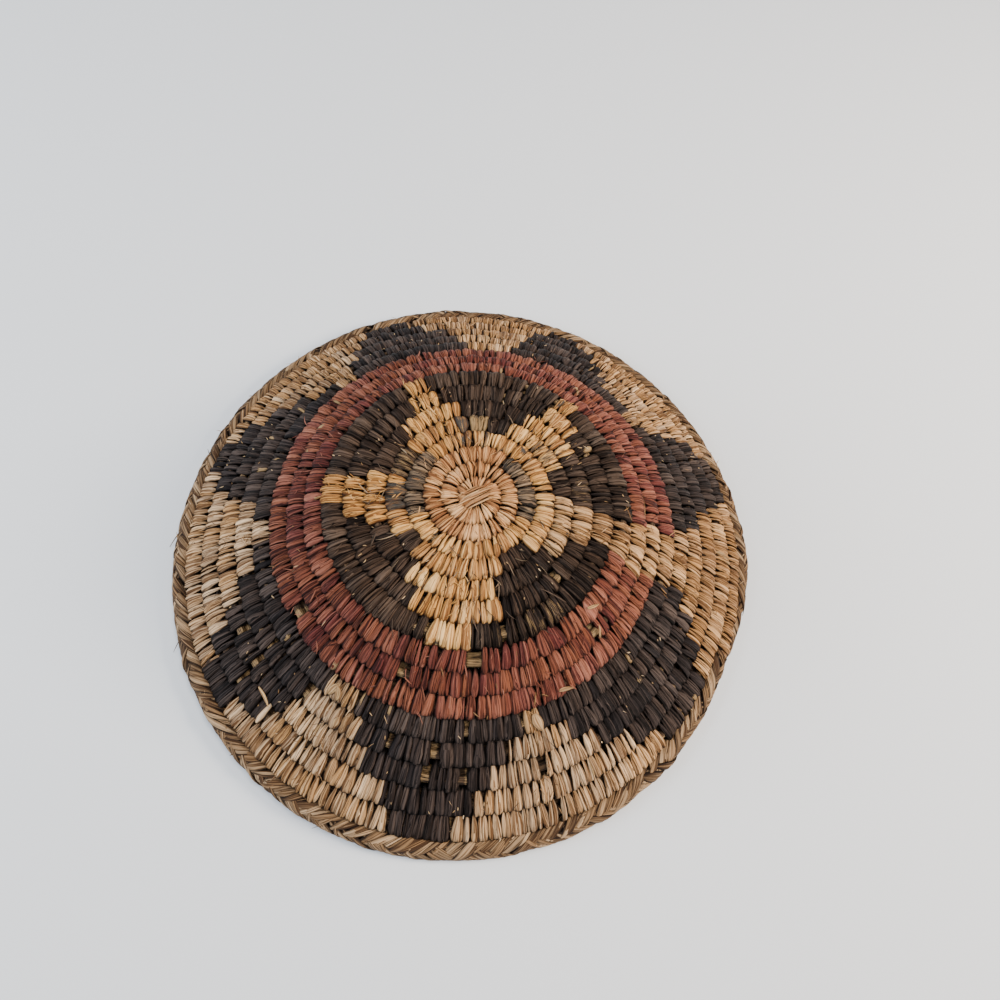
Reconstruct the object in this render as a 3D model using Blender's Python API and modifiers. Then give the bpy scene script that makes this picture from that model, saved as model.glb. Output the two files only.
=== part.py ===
"""Coiled wedding basket, stored rim down: rod foundation, splint wraps by colour, braided rim.

Metres, +Z up. The rim rests on Z = 0 and the coil's axis is Z. Angles are in degrees,
counter-clockwise from +X seen from above. The coil runs outward clockwise, and a place on it
is given in turns from its start.
"""
import math

import bmesh
import bpy
import numpy as np
from mathutils import Matrix, Vector

for old in list(bpy.data.objects):
    bpy.data.objects.remove(old, do_unlink=True)

# Bowl, measured to the outside of the wraps
RIM_RADIUS = 0.110
BASKET_HEIGHT = 0.0535
BASE_RADIUS = 0.044
BASE_CROWN = 0.0034
SHOULDER_RADIUS = 0.014

# Coil
COIL_THICKNESS = 0.0056
FIRST_COIL_WIDTH = 0.0049
RIM_COIL_WIDTH = 0.0066
RIM_END_WIDTH = 0.0014
COIL_TURNS = 16.78
NARROWING_TURNS = 0.78
RIM_TAPER_TURNS = 0.06
RIM_TAPER_POWER = 0.7
START_ANGLE = 270.0

# Wraps, and the rods that they hold
WRAP_GAP = 0.0005
WRAP_FLAT_SHARE = 0.56
WRAP_SIDE_SHARE = 0.42
BORE_SHARE = 0.62
ROD_CLEARANCE = 0.0003
ROD_LENGTHS = 9
ROD_BUTT_GAP = 0.0004
FIRST_ROD_TURN = 0.0125
LAST_ROD_SHORTFALL_TURNS = 0.09

# Knot over the start of the coil
KNOT_LENGTH = 0.0115
KNOT_WIDTH = 0.0034
KNOT_THICKNESS = 0.0012
KNOT_EDGE_RADIUS = 0.0003
KNOT_ANGLE = 43.0
KNOT_SEAT_GAP = 0.0003
KNOT_TAIL_RADIUS = 0.0011
KNOT_TAIL_SIDES = 12
KNOT_TAIL_ANGLE = 315.0
KNOT_TAIL_DISTANCE = 0.0024
KNOT_SHIFT = 0.0008

# Sections in one turn, coarse at the centre, and how near two turns or two points are the same
FINE_STEPS = 20
COARSE_STEPS = 12
FINE_FROM = 3.75
SAME_TURN = 1e-6
SAME_STEP = 1e-7
SAME_POINT = 1e-7

# Colour pattern by rows of the coil, numbered from the centre. A stepped field has its first and last
# angle on its base row, then on its tip row; the others have their first and last angle.
STAR_BASE_ROW = 7
STAR_TIP_ROW = 4
STAR_FIELDS = [
    (7.5, 58.5, 14.0, 38.0),
    (68.0, 125.5, 79.0, 108.0),
    (134.5, 185.0, 155.0, 178.0),
    (197.0, 266.0, 223.0, 237.0),
    (284.0, 355.5, 304.0, 328.0),
]
RED_ROWS = {8: (9.0, 354.0), 9: (10.5, 352.5), 10: (9.0, 354.0)}
TRIANGLE_BASE_ROW = 11
TRIANGLE_TIP_ROW = 15
TRIANGLES = [
    (12.0, 46.0, 24.0, 35.0),
    (52.0, 92.5, 77.0, 85.5),
    (105.0, 142.0, 121.0, 130.5),
    (148.5, 194.5, 172.0, 180.5),
    (202.5, 246.0, 222.0, 230.5),
    (253.5, 298.0, 270.5, 280.5),
    (302.0, 355.5, 327.5, 343.0),
]
FADED_ROW = 3
FADED_FIELDS = [(349.0, 425.0), (150.0, 213.0)]

TAN = (0.52, 0.36, 0.21)
PALE_TAN = (0.60, 0.45, 0.28)
DARK = (0.045, 0.04, 0.04)
RED = (0.33, 0.07, 0.035)
FADED = (0.20, 0.18, 0.15)
ROD = (0.42, 0.30, 0.17)
SPLINT_ROUGHNESS = 0.6
ROD_ROUGHNESS = 0.7

# The wall's middle is a crown arc, a shoulder arc and a straight side down to the rim coil
RIM_COIL_RADIUS = RIM_COIL_WIDTH / 2
HALF_THICKNESS = COIL_THICKNESS / 2
CROWN_RADIUS = (BASE_RADIUS**2 + BASE_CROWN**2) / (2 * BASE_CROWN)
CROWN_LEAN = math.asin(BASE_RADIUS / CROWN_RADIUS)
APEX_HEIGHT = BASKET_HEIGHT - HALF_THICKNESS
SHOULDER_X = BASE_RADIUS - SHOULDER_RADIUS * math.sin(CROWN_LEAN)
SHOULDER_Z = APEX_HEIGHT - BASE_CROWN - SHOULDER_RADIUS * math.cos(CROWN_LEAN)
RIM_X = RIM_RADIUS - RIM_COIL_RADIUS
RIM_DISTANCE = math.hypot(RIM_X - SHOULDER_X, SHOULDER_Z - RIM_COIL_RADIUS)
RIM_DIRECTION = math.atan2(SHOULDER_Z - RIM_COIL_RADIUS, RIM_X - SHOULDER_X)
WALL_LEAN = RIM_DIRECTION + math.asin(SHOULDER_RADIUS / RIM_DISTANCE)
CROWN_RUN = CROWN_RADIUS * CROWN_LEAN
SHOULDER_RUN = SHOULDER_RADIUS * (WALL_LEAN - CROWN_LEAN)
SIDE_RUN = math.sqrt(RIM_DISTANCE**2 - SHOULDER_RADIUS**2)
WALL_RUN = CROWN_RUN + SHOULDER_RUN + SIDE_RUN

# The coil widens evenly from its first width, by as much as fills the wall
RIM_START = COIL_TURNS - 1
WIDENING = 2 * (WALL_RUN - RIM_COIL_WIDTH - FIRST_COIL_WIDTH * RIM_START) / (RIM_START * (RIM_START - 1))

# A wrap's section and its bore, in shares of the coil's half width and half thickness
INNER_SIDE = [(-1, -WRAP_SIDE_SHARE), (-1, WRAP_SIDE_SHARE)]
TOP = [(-WRAP_FLAT_SHARE, 1), (WRAP_FLAT_SHARE, 1)]
OUTER_SIDE = [(1, WRAP_SIDE_SHARE), (1, -WRAP_SIDE_SHARE)]
UNDERSIDE = [(WRAP_FLAT_SHARE, -1), (-WRAP_FLAT_SHARE, -1)]
WRAP_SECTION = INNER_SIDE + TOP + OUTER_SIDE + UNDERSIDE
FOOT_CORNERS = (5, 6)
BORE_SECTION = [(-1, -1), (-1, 1), (1, 1), (1, -1)]

basket = bpy.data.collections.new("wedding_basket")
bpy.context.scene.collection.children.link(basket)
shapes = bpy.data.collections.new("shapes")
bpy.context.scene.collection.children.link(shapes)


def wall_at(run):
    """Radius, height and lean of the wall's middle at a distance along it from the apex."""
    if run < CROWN_RUN:
        lean = run / CROWN_RADIUS
        return CROWN_RADIUS * math.sin(lean), APEX_HEIGHT - CROWN_RADIUS * (1 - math.cos(lean)), lean
    if run < CROWN_RUN + SHOULDER_RUN:
        lean = CROWN_LEAN + (run - CROWN_RUN) / SHOULDER_RADIUS
        radius = SHOULDER_X + SHOULDER_RADIUS * math.sin(lean)
        return radius, SHOULDER_Z + SHOULDER_RADIUS * math.cos(lean), lean
    back = WALL_RUN - run
    height = RIM_COIL_RADIUS + back * math.sin(WALL_LEAN)
    return RIM_X - back * math.cos(WALL_LEAN), height, WALL_LEAN


def coil_width(turn):
    """Width of the coil along the wall: it narrows to the rim coil, which ends in a taper."""
    if turn >= RIM_START:
        untapered = min(1, max(0, (COIL_TURNS - turn) / RIM_TAPER_TURNS))
        return RIM_END_WIDTH + (RIM_COIL_WIDTH - RIM_END_WIDTH) * untapered
    plain = FIRST_COIL_WIDTH + WIDENING * turn
    narrowed = max(0, turn - RIM_START + NARROWING_TURNS) / NARROWING_TURNS
    return plain + (RIM_COIL_WIDTH - plain) * narrowed


def inner_edge(turn):
    """Distance along the wall from the apex to the coil's inner edge."""
    if turn <= RIM_START:
        return FIRST_COIL_WIDTH * turn + WIDENING * turn * (turn - 1) / 2
    return inner_edge(turn - 1) + coil_width(turn - 1)


def spread(turn):
    """How far the wall is stretched at this angle, so that the last coil lies level."""
    last = turn + math.floor(COIL_TURNS - turn)
    return (inner_edge(last) + coil_width(last)) / (WALL_RUN + RIM_COIL_RADIUS)


def turn_at(row, degrees):
    return row + (START_ANGLE - degrees) / 360


def radius_at(turn):
    """Distance from the axis to the middle of the coil."""
    middle = inner_edge(turn) + coil_width(turn) / 2
    return wall_at(middle / spread(turn))[0] * spread(turn)


def spot(turn, run, height):
    """The point at a distance along the wall and a height over the wall's middle."""
    radius, z, lean = wall_at(run / spread(turn))
    radius = radius * spread(turn) + height * math.sin(lean)
    angle = math.radians(START_ANGLE - 360 * turn)
    return np.array((radius * math.cos(angle), radius * math.sin(angle), max(0, z + height * math.cos(lean))))


class Section:
    """A section that is carried along the coil, scaled to the coil and drawn back by a margin."""

    def __init__(self, outline, share=1, margin=0, has_foot=False):
        self.outline = outline
        self.share = share
        self.margin = margin
        self.has_foot = has_foot

    def exactly_at(self, turn, index, inset):
        """One corner of the section, moved in from its side of the coil by the inset."""
        x, y = self.outline[index]
        width = coil_width(turn)
        across = x * (width / 2 * self.share - self.margin) - math.copysign(inset, x)
        height = y * (HALF_THICKNESS * self.share - self.margin)
        if turn > RIM_START:
            height *= (width / RIM_COIL_WIDTH) ** RIM_TAPER_POWER
        point = spot(turn, inner_edge(turn) + width / 2 + across, height)
        if self.has_foot and index in FOOT_CORNERS:
            point[2] = 0
        return point

    def at(self, turn, index, inset=0):
        """The corner on the straight line between the two whole steps round it."""
        steps = steps_near(turn)
        before = step_before(turn) / steps
        share = (turn - before) * steps
        if share < SAME_TURN:
            return self.exactly_at(before, index, inset)
        if before + 1 / steps > COIL_TURNS:
            return self.exactly_at(turn, index, inset)
        near = self.exactly_at(before, index, inset)
        return near + (self.exactly_at(before + 1 / steps, index, inset) - near) * share

    def line(self, stops, index, inset_at=lambda turn: 0):
        """The way that one corner takes along the coil, as turns and points."""
        return [(turn, self.at(turn, index, inset_at(turn))) for turn in stops]


def steps_near(turn):
    return COARSE_STEPS if turn < FINE_FROM - SAME_STEP else FINE_STEPS


def step_before(turn):
    return math.floor(turn * steps_near(turn) + SAME_STEP)


def stops_between(start, end, joints=()):
    """The turns where sections stand: both ends, each whole step and each joint between them."""
    inside = [joint for joint in joints if start + SAME_TURN < joint < end - SAME_TURN]
    stops = [start, *sorted(inside), end]
    turn = start
    while True:
        steps = steps_near(turn)
        turn = (step_before(turn) + 1) / steps
        if turn > end - SAME_TURN:
            return sorted(stops)
        if all(abs(turn - stop) > SAME_TURN for stop in stops):
            stops.append(turn)


class Side:
    """One side of a run of wraps: joined to the next row where the field has one, else drawn back."""

    def __init__(self, run, runs, step):
        self.run = run
        shifted = [(max(run[0], low - step), min(run[1], high - step)) for low, high in runs]
        self.meetings = [(low, high) for low, high in shifted if high > low]
        self.slope = WRAP_GAP / (2 * math.pi * radius_at(run[0]))
        self.is_free = step > 0 and run[1] > RIM_START + WRAP_GAP

    def inset_at(self, turn):
        away = [max(low - turn, turn - high, 0) for low, high in self.meetings]
        return 0 if self.is_free else WRAP_GAP / 2 * min([1] + [distance / self.slope for distance in away])

    def stops(self):
        joints = [low - self.slope * share for low, high in self.meetings for share in (0, 1)]
        joints += [high + self.slope * share for low, high in self.meetings for share in (0, 1)]
        return stops_between(*self.run, joints)


def plain_material(name, colour, roughness):
    material = bpy.data.materials.new(name)
    material.use_nodes = True
    shader = material.node_tree.nodes["Principled BSDF"]
    shader.inputs["Base Color"].default_value = (*colour, 1)
    shader.inputs["Roughness"].default_value = roughness
    shader.inputs["Metallic"].default_value = 0
    return material


def finish(name, bm, colour, roughness):
    """Make the mesh a named object with a material of its own."""
    bmesh.ops.delete(bm, geom=[edge for edge in bm.edges if not edge.link_faces], context="EDGES")
    bmesh.ops.recalc_face_normals(bm, faces=bm.faces)
    mesh = bpy.data.meshes.new(name)
    bm.to_mesh(mesh)
    bm.free()
    mesh.materials.append(plain_material(name, colour, roughness))
    made = bpy.data.objects.new(name, mesh)
    basket.objects.link(made)
    return made


class Skin:
    """A surface built strip by strip, where two runs that meet lose the face between them."""

    def __init__(self):
        self.bm = bmesh.new()
        self.corners = {}
        self.laid = {}

    def corner(self, point):
        key = tuple(round(value / SAME_POINT) for value in point)
        if key not in self.corners:
            self.corners[key] = self.bm.verts.new(point)
        return self.corners[key]

    def lay(self, points):
        corners = [self.corner(point) for point in points]
        key = frozenset(corners)
        if key in self.laid:
            self.bm.faces.remove(self.laid.pop(key))
        else:
            self.laid[key] = self.bm.faces.new(corners)

    def lay_between(self, left, right):
        """A strip of faces between two lines along the coil, which may have other stops each."""
        place = [0, 0]
        turns = [[turn for turn, point in line] + [math.inf] for line in (left, right)]
        while True:
            ahead = [line[at + 1] for line, at in zip(turns, place)]
            if min(ahead) == math.inf:
                return
            moves = [turn < min(ahead) + SAME_STEP for turn in ahead]
            points = [left[place[0]][1], right[place[1]][1]]
            place = [at + move for at, move in zip(place, moves)]
            points += [right[place[1]][1]] if moves[1] else []
            points += [left[place[0]][1]] if moves[0] else []
            self.lay(points)

    def lay_round(self, lines):
        """Strips between each line and the next, and from the last to the first."""
        for line, follow in zip(lines, lines[1:] + lines[:1]):
            self.lay_between(line, follow)

    def lay_end(self, ring, bore):
        """The end of a wrap, round its bore: one face at each side and one at each corner."""
        for index in range(len(bore)):
            follow = (index + 1) % len(bore)
            left, right = 2 * index, 2 * index + 1
            self.lay([ring[left - 1], ring[left], bore[index]])
            self.lay([ring[left], ring[right], bore[follow], bore[index]])


def trimmed(start, end):
    """A run of wraps, drawn back at both ends by half the gap to its neighbours."""
    start_share = WRAP_GAP / 2 / (2 * math.pi * radius_at(start))
    end_share = WRAP_GAP / 2 / (2 * math.pi * radius_at(end))
    return start + start_share, end - end_share


def wrap_field(name, runs, colour, has_foot=False, is_joined=True):
    """Splint wraps of one colour on one or more runs of the coil, hollow for the rods."""
    wrap = Section(WRAP_SECTION, has_foot=has_foot)
    bore = Section(BORE_SECTION, share=BORE_SHARE)
    runs = [trimmed(start, end) for start, end in runs]
    skin = Skin()
    for run in runs:
        sides = {step: Side(run, runs if is_joined else [], step) for step in (-1, 1)}
        stops = stops_between(*run)
        lines = []
        for index, (x, y) in enumerate(WRAP_SECTION):
            if x in sides:
                lines.append(wrap.line(sides[x].stops(), index, sides[x].inset_at))
            else:
                lines.append(wrap.line(stops, index))
        bore_lines = [bore.line(stops, index) for index in range(len(BORE_SECTION))]
        skin.lay_round(lines)
        skin.lay_round(bore_lines)
        for end in (0, -1):
            skin.lay_end([line[end][1] for line in lines], [line[end][1] for line in bore_lines])
    return finish(name, skin.bm, colour, SPLINT_ROUGHNESS)


def rod_bundle(name, start, end):
    """One length of the rods that the wraps are sewn round."""
    rods = Section(BORE_SECTION, share=BORE_SHARE, margin=ROD_CLEARANCE)
    skin = Skin()
    lines = [rods.line(stops_between(start, end), index) for index in range(len(BORE_SECTION))]
    skin.lay_round(lines)
    for end in (0, -1):
        skin.lay([line[end][1] for line in lines])
    return finish(name, skin.bm, ROD, ROD_ROUGHNESS)


def edges_on(field, row, base_row, tip_row):
    """Start and end angle of a stepped field on one row."""
    share = (row - base_row) / (tip_row - base_row)
    left = field[0] + (field[2] - field[0]) * share
    right = field[1] + (field[3] - field[1]) * share
    return left, right


def stepped_fields(names, fields, base_row, tip_row):
    """Dark stepped fields, and the undyed fields between them, row by row."""
    rows = range(min(base_row, tip_row), max(base_row, tip_row) + 1)
    edges = [{row: edges_on(field, row, base_row, tip_row) for row in rows} for field in fields]
    for number, field in enumerate(edges, 1):
        runs = [(turn_at(row, right), turn_at(row, left)) for row, (left, right) in field.items()]
        wrap_field(f"{names[0]}_{number}", runs, DARK)
    for number, (first, second) in enumerate(zip(edges, edges[1:]), 1):
        runs = [(turn_at(row, second[row][0]), turn_at(row, first[row][1])) for row in rows]
        wrap_field(f"{names[1]}_{number}", runs, TAN)
    return edges


def coil_length(start, end):
    """Length along the middle of the coil between two places on it."""
    count = math.ceil((end - start) * FINE_STEPS)
    step = (end - start) / count
    return sum(2 * math.pi * radius_at(start + (index + 0.5) * step) * step for index in range(count))


def turn_after(start, length):
    """Where the coil has run on by a length."""
    turn = start
    while length > SAME_TURN:
        step = length / (2 * math.pi * radius_at(turn + 1 / FINE_STEPS))
        step = min(step, 1 / FINE_STEPS)
        length -= coil_length(turn, turn + step)
        turn += step
    return turn


def foundation():
    """The rods: equal lengths butted end to end, from the centre to the taper of the rim."""
    start = FIRST_ROD_TURN
    end = COIL_TURNS - LAST_ROD_SHORTFALL_TURNS
    each = (coil_length(start, end) - ROD_BUTT_GAP * (ROD_LENGTHS - 1)) / ROD_LENGTHS
    for number in range(1, ROD_LENGTHS + 1):
        stop = end if number == ROD_LENGTHS else turn_after(start, each)
        rod_bundle(f"rod_bundle_{number}", start, stop)
        start = turn_after(stop, ROD_BUTT_GAP)


def centre_wraps(first_dark_turn):
    """The undyed middle of the star, with two runs of faded splint in its last row."""
    start, names = 0, ["centre_wrap", "fourth_row_wrap_1", "fourth_row_wrap_2"]
    for number, (low, high) in enumerate(FADED_FIELDS, 1):
        faded_start, faded_end = turn_at(FADED_ROW, high), turn_at(FADED_ROW, low)
        wrap_field(names[number - 1], [(start, faded_start)], TAN, is_joined=False)
        wrap_field(f"faded_wrap_{number}", [(faded_start, faded_end)], FADED, is_joined=False)
        start = faded_end
    wrap_field(names[-1], [(start, first_dark_turn)], TAN, is_joined=False)


def red_band():
    for number, (row, (left, right)) in enumerate(RED_ROWS.items(), 1):
        wrap_field(f"red_row_{number}", [(turn_at(row, right), turn_at(row, left))], RED, is_joined=False)


def pathway(firsts, lasts):
    """The undyed way from the star to the rim, where each row's colours begin and end."""
    left = {row: edges[0] for row, edges in RED_ROWS.items()}
    right = {row: edges[1] for row, edges in RED_ROWS.items()}
    for first, last in zip(firsts, lasts):
        left.update({row: edges[0] for row, edges in first.items()})
        right.update({row: edges[1] for row, edges in last.items()})
    runs = []
    for row in sorted(left):
        end = turn_at(row + 1, right[row + 1]) if row < TRIANGLE_TIP_ROW else RIM_START
        runs.append((turn_at(row, left[row]), end))
    wrap_field("pathway", runs, TAN)


def start_knot():
    """A flat strip over the first wraps, its tail pushed down beside the start of the coil."""
    tail_angle = math.radians(KNOT_TAIL_ANGLE)
    tail_place = Vector((math.cos(tail_angle), math.sin(tail_angle), 0)) * KNOT_TAIL_DISTANCE
    top = BASKET_HEIGHT + KNOT_SEAT_GAP + KNOT_THICKNESS
    bpy.ops.mesh.primitive_cube_add(size=1)
    head = bpy.context.object
    head.name = "start_knot"
    head.data.transform(Matrix.Diagonal((KNOT_LENGTH, KNOT_WIDTH, KNOT_THICKNESS, 1)))
    head.location = tail_place.normalized() * KNOT_SHIFT + Vector((0, 0, top - KNOT_THICKNESS / 2))
    head.rotation_euler.z = math.radians(KNOT_ANGLE)
    edge = head.modifiers.new("rounded", "BEVEL")
    edge.width = KNOT_EDGE_RADIUS
    edge.segments = 2
    foot = BASKET_HEIGHT - COIL_THICKNESS
    depth = top - KNOT_THICKNESS / 2 - foot
    bpy.ops.mesh.primitive_cylinder_add(vertices=KNOT_TAIL_SIDES, radius=KNOT_TAIL_RADIUS, depth=depth)
    tail = bpy.context.object
    tail.name = "knot_tail_shape"
    tail.location = tail_place + Vector((0, 0, foot + depth / 2))
    tail.hide_render = True
    tail.display_type = "WIRE"
    joined = head.modifiers.new("tail", "BOOLEAN")
    joined.operation = "UNION"
    joined.object = tail
    head.data.materials.append(plain_material("start_knot", TAN, SPLINT_ROUGHNESS))
    for made, home in ((head, basket), (tail, shapes)):
        for collection in list(made.users_collection):
            collection.objects.unlink(made)
        home.objects.link(made)


star = stepped_fields(("star_field", "star_point"), STAR_FIELDS, STAR_BASE_ROW, STAR_TIP_ROW)
triangles = stepped_fields(("dark_triangle", "tan_field"), TRIANGLES, TRIANGLE_BASE_ROW, TRIANGLE_TIP_ROW)
centre_wraps(turn_at(STAR_TIP_ROW, star[-1][STAR_TIP_ROW][1]))
red_band()
pathway((star[0], triangles[0]), (star[-1], triangles[-1]))
wrap_field("rim_braid", [(RIM_START, COIL_TURNS)], PALE_TAN, has_foot=True, is_joined=False)
foundation()
start_knot()
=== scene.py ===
"""A coiled wedding basket, lying rim down on a pale floor."""
import math

import bmesh
import bpy
import numpy as np
from mathutils import Matrix, Vector


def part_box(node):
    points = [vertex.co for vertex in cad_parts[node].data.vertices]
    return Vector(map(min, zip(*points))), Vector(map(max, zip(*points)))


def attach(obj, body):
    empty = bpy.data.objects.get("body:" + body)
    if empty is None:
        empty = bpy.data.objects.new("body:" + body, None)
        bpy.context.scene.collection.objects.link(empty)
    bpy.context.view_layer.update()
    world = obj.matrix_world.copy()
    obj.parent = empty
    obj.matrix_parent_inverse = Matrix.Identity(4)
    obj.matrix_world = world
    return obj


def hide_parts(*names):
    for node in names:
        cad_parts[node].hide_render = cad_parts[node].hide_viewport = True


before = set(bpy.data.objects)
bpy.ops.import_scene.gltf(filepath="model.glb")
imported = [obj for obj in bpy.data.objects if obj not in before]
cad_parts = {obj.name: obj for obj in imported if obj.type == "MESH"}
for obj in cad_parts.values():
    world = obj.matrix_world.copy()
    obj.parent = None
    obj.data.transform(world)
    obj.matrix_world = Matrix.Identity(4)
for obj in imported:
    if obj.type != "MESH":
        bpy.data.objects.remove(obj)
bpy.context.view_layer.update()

# The bowl is one long coil, sewn row on row from the middle of the base out to the rim. Its wall is
# a slightly crowned base, a tight shoulder and straight sides at about 36 degrees.
RIM_RADIUS = 0.110
BOWL_HEIGHT = 0.0535
BASE_RADIUS = 0.044
BASE_CROWN = 0.0034
SHOULDER_RADIUS = 0.014
COIL_HALF = 0.0028
FIRST_WIDTH = 0.0049
RIM_WIDTH = 0.0066
RIM_END_WIDTH = 0.0014
TURNS = 16.78
RIM_START = TURNS - 1
NARROWING = 0.78
TAPER = 0.06
FRONT = 270.0
LEAST_RADIUS = 0.0025

crown_radius = (BASE_RADIUS**2 + BASE_CROWN**2) / (2 * BASE_CROWN)
crown_lean = math.asin(BASE_RADIUS / crown_radius)
apex = BOWL_HEIGHT - COIL_HALF
shoulder_x = BASE_RADIUS - SHOULDER_RADIUS * math.sin(crown_lean)
shoulder_z = apex - BASE_CROWN - SHOULDER_RADIUS * math.cos(crown_lean)
rim_x = RIM_RADIUS - RIM_WIDTH / 2
rim_distance = math.hypot(rim_x - shoulder_x, shoulder_z - RIM_WIDTH / 2)
side_lean = math.atan2(shoulder_z - RIM_WIDTH / 2, rim_x - shoulder_x)
side_lean += math.asin(SHOULDER_RADIUS / rim_distance)
crown_run = crown_radius * crown_lean
shoulder_run = crown_run + SHOULDER_RADIUS * (side_lean - crown_lean)
wall_run = shoulder_run + math.sqrt(rim_distance**2 - SHOULDER_RADIUS**2)
widening = 2 * (wall_run - RIM_WIDTH - FIRST_WIDTH * RIM_START) / (RIM_START * (RIM_START - 1))


def turn_at(row, degrees):
    """The turn of the coil at an angle, counter-clockwise from +X: the coil runs outward clockwise."""
    return row + (FRONT - degrees) / 360


def coil_width(turn):
    plain = FIRST_WIDTH + widening * turn
    narrowed = np.clip((turn - RIM_START + NARROWING) / NARROWING, 0, 1)
    tapered = RIM_END_WIDTH + (RIM_WIDTH - RIM_END_WIDTH) * np.clip((TURNS - turn) / TAPER, 0, 1)
    return np.where(turn < RIM_START, plain + (RIM_WIDTH - plain) * narrowed, tapered)


def inner_edge(turn):
    """How far along the wall the coil's inner edge lies from the middle of the base."""
    below = np.where(turn > RIM_START, turn - 1, turn)
    edge = FIRST_WIDTH * below + widening * below * (below - 1) / 2
    return edge + np.where(turn > RIM_START, coil_width(below), 0)


def place(turn, across, above):
    """Points given by turn, by distance across the coil from its middle, and by height over the wall."""
    turn = np.asarray(turn, float)
    last = turn + np.floor(TURNS - turn)
    spread = (inner_edge(last) + coil_width(last)) / (wall_run + RIM_WIDTH / 2)
    run = np.maximum(inner_edge(turn) + coil_width(turn) / 2 + across, 0) / spread
    crown = run / crown_radius
    on_crown = run < crown_run
    shoulder = crown_lean + (run - crown_run) / SHOULDER_RADIUS
    lean = np.where(on_crown, crown, np.minimum(shoulder, side_lean))
    crown_z = apex - crown_radius * (1 - np.cos(crown))
    radius = np.where(on_crown, crown_radius * np.sin(crown), shoulder_x + SHOULDER_RADIUS * np.sin(lean))
    z = np.where(on_crown, crown_z, shoulder_z + SHOULDER_RADIUS * np.cos(lean))
    side = np.maximum(run - shoulder_run, 0)
    radius = (radius + side * math.cos(side_lean)) * spread + above * np.sin(lean)
    z = z - side * math.sin(side_lean) + above * np.cos(lean)
    angle = np.radians(FRONT - 360 * turn)
    return np.stack((radius * np.cos(angle), radius * np.sin(angle), z), axis=-1)


def arc(turn):
    """Length of a whole turn of the coil at a place on it."""
    return 2 * math.pi * np.maximum(np.hypot(*np.moveaxis(place(turn, 0, 0), -1, 0)[:2]), LEAST_RADIUS)


# Every wrap is a splint: a twig of sumac split lengthwise, shaved flat and sewn while damp. A blank
# is one such splint laid straight, crowned on top, with a few rings along it. It is stamped once for
# each wrap, and the stamps are then bent round the coil.
CROWNED = [(-1, -0.1), (-0.70, 0.72), (0, 1), (0.70, 0.72), (1, -0.1), (0, -0.5)]


def splint_blank(rings, has_ends):
    bm = bmesh.new()
    edge = bmesh.ops.create_circle(bm, segments=len(CROWNED), radius=1, cap_ends=False)["verts"]
    for corner, (x, z) in zip(edge, CROWNED):
        corner.co = (x, 0, z)
    loop = list(bm.edges)
    for ring in range(rings):
        grown = bmesh.ops.extrude_edge_only(bm, edges=loop)["geom"]
        loop = [item for item in grown if isinstance(item, bmesh.types.BMEdge)]
        corners = [item for item in grown if isinstance(item, bmesh.types.BMVert)]
        bmesh.ops.translate(bm, verts=corners, vec=(0, 1 / rings, 0))
    if has_ends:
        bmesh.ops.holes_fill(bm, edges=[side for side in bm.edges if side.is_boundary])
    bmesh.ops.recalc_face_normals(bm, faces=bm.faces)
    blank = bpy.data.meshes.new("splint_blank")
    bm.to_mesh(blank)
    bm.free()
    return blank


def corners_of(blank):
    """The blank's own coordinates: across -1 to 1, along 0 to 1, and height."""
    flat = np.empty(len(blank.vertices) * 3)
    blank.vertices.foreach_get("co", flat)
    return flat.reshape(-1, 3).T


def bent_piece(name, blank, points, marks, finish):
    """Stamps the blank once for each row of points, and keeps each mark as an attribute."""
    bm = bmesh.new()
    for stamp in range(len(points)):
        bm.from_mesh(blank)
    mesh = bpy.data.meshes.new(name)
    bm.to_mesh(mesh)
    mesh.vertices.foreach_set("co", points.reshape(-1))
    for mark, values in marks.items():
        wide = values.ndim == 3
        layer = mesh.attributes.new(mark, "FLOAT_VECTOR" if wide else "FLOAT", "POINT")
        values = np.ascontiguousarray(values, float).reshape(-1)
        layer.data.foreach_set("vector" if wide else "value", values)
    bm.free()
    bm = bmesh.new()
    bm.from_mesh(mesh)
    bmesh.ops.remove_doubles(bm, verts=bm.verts, dist=2e-6)
    bmesh.ops.recalc_face_normals(bm, faces=bm.faces)
    for face in bm.faces:
        face.smooth = True
    bm.to_mesh(mesh)
    bm.free()
    mesh.materials.append(finish)
    piece = bpy.data.objects.new(name, mesh)
    bpy.context.scene.collection.objects.link(piece)
    return piece


# Dyed and undyed splint differ in colour alone. All have fine fibres along the twig, a tone of their
# own, dirt and painted shade at the edges, lighter fibres that also serve as a painted highlight for
# glints, and a dull sheen where the flat of the splint has been handled.
class Wire:
    """A socket that can be added, multiplied and so on, which makes the Math nodes."""

    def __init__(self, tree, socket):
        self.tree = tree
        self.socket = socket

    def node(self, kind, settings=(), **values):
        """A node with its settings and sockets, a socket given by name or, as in n6, by number."""
        made = self.tree.nodes.new(kind)
        for name, value in settings:
            setattr(made, name, value)
        for name, value in values.items():
            key = int(name[1:]) if name[0] == "n" and name[1:].isdigit() else name
            if isinstance(value, Wire):
                self.tree.links.new(value.socket, made.inputs[key])
            else:
                made.inputs[key].default_value = value
        return made

    def math(self, operation, *values):
        inputs = {f"n{number}": value for number, value in enumerate(values)}
        made = self.node("ShaderNodeMath", [("operation", operation)], **inputs)
        return Wire(self.tree, made.outputs[0])

    def __add__(self, other):
        return self.math("ADD", self, other)

    def __sub__(self, other):
        return self.math("SUBTRACT", self, other)

    def __mul__(self, other):
        return self.math("MULTIPLY", self, other)

    def __rsub__(self, other):
        return self.math("SUBTRACT", other, self)

    def power(self, other):
        return self.math("POWER", self, other)

    def clamped(self):
        return self.math("MINIMUM", self.math("MAXIMUM", self, 0.0), 1.0)

    __radd__ = __add__
    __rmul__ = __mul__


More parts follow.
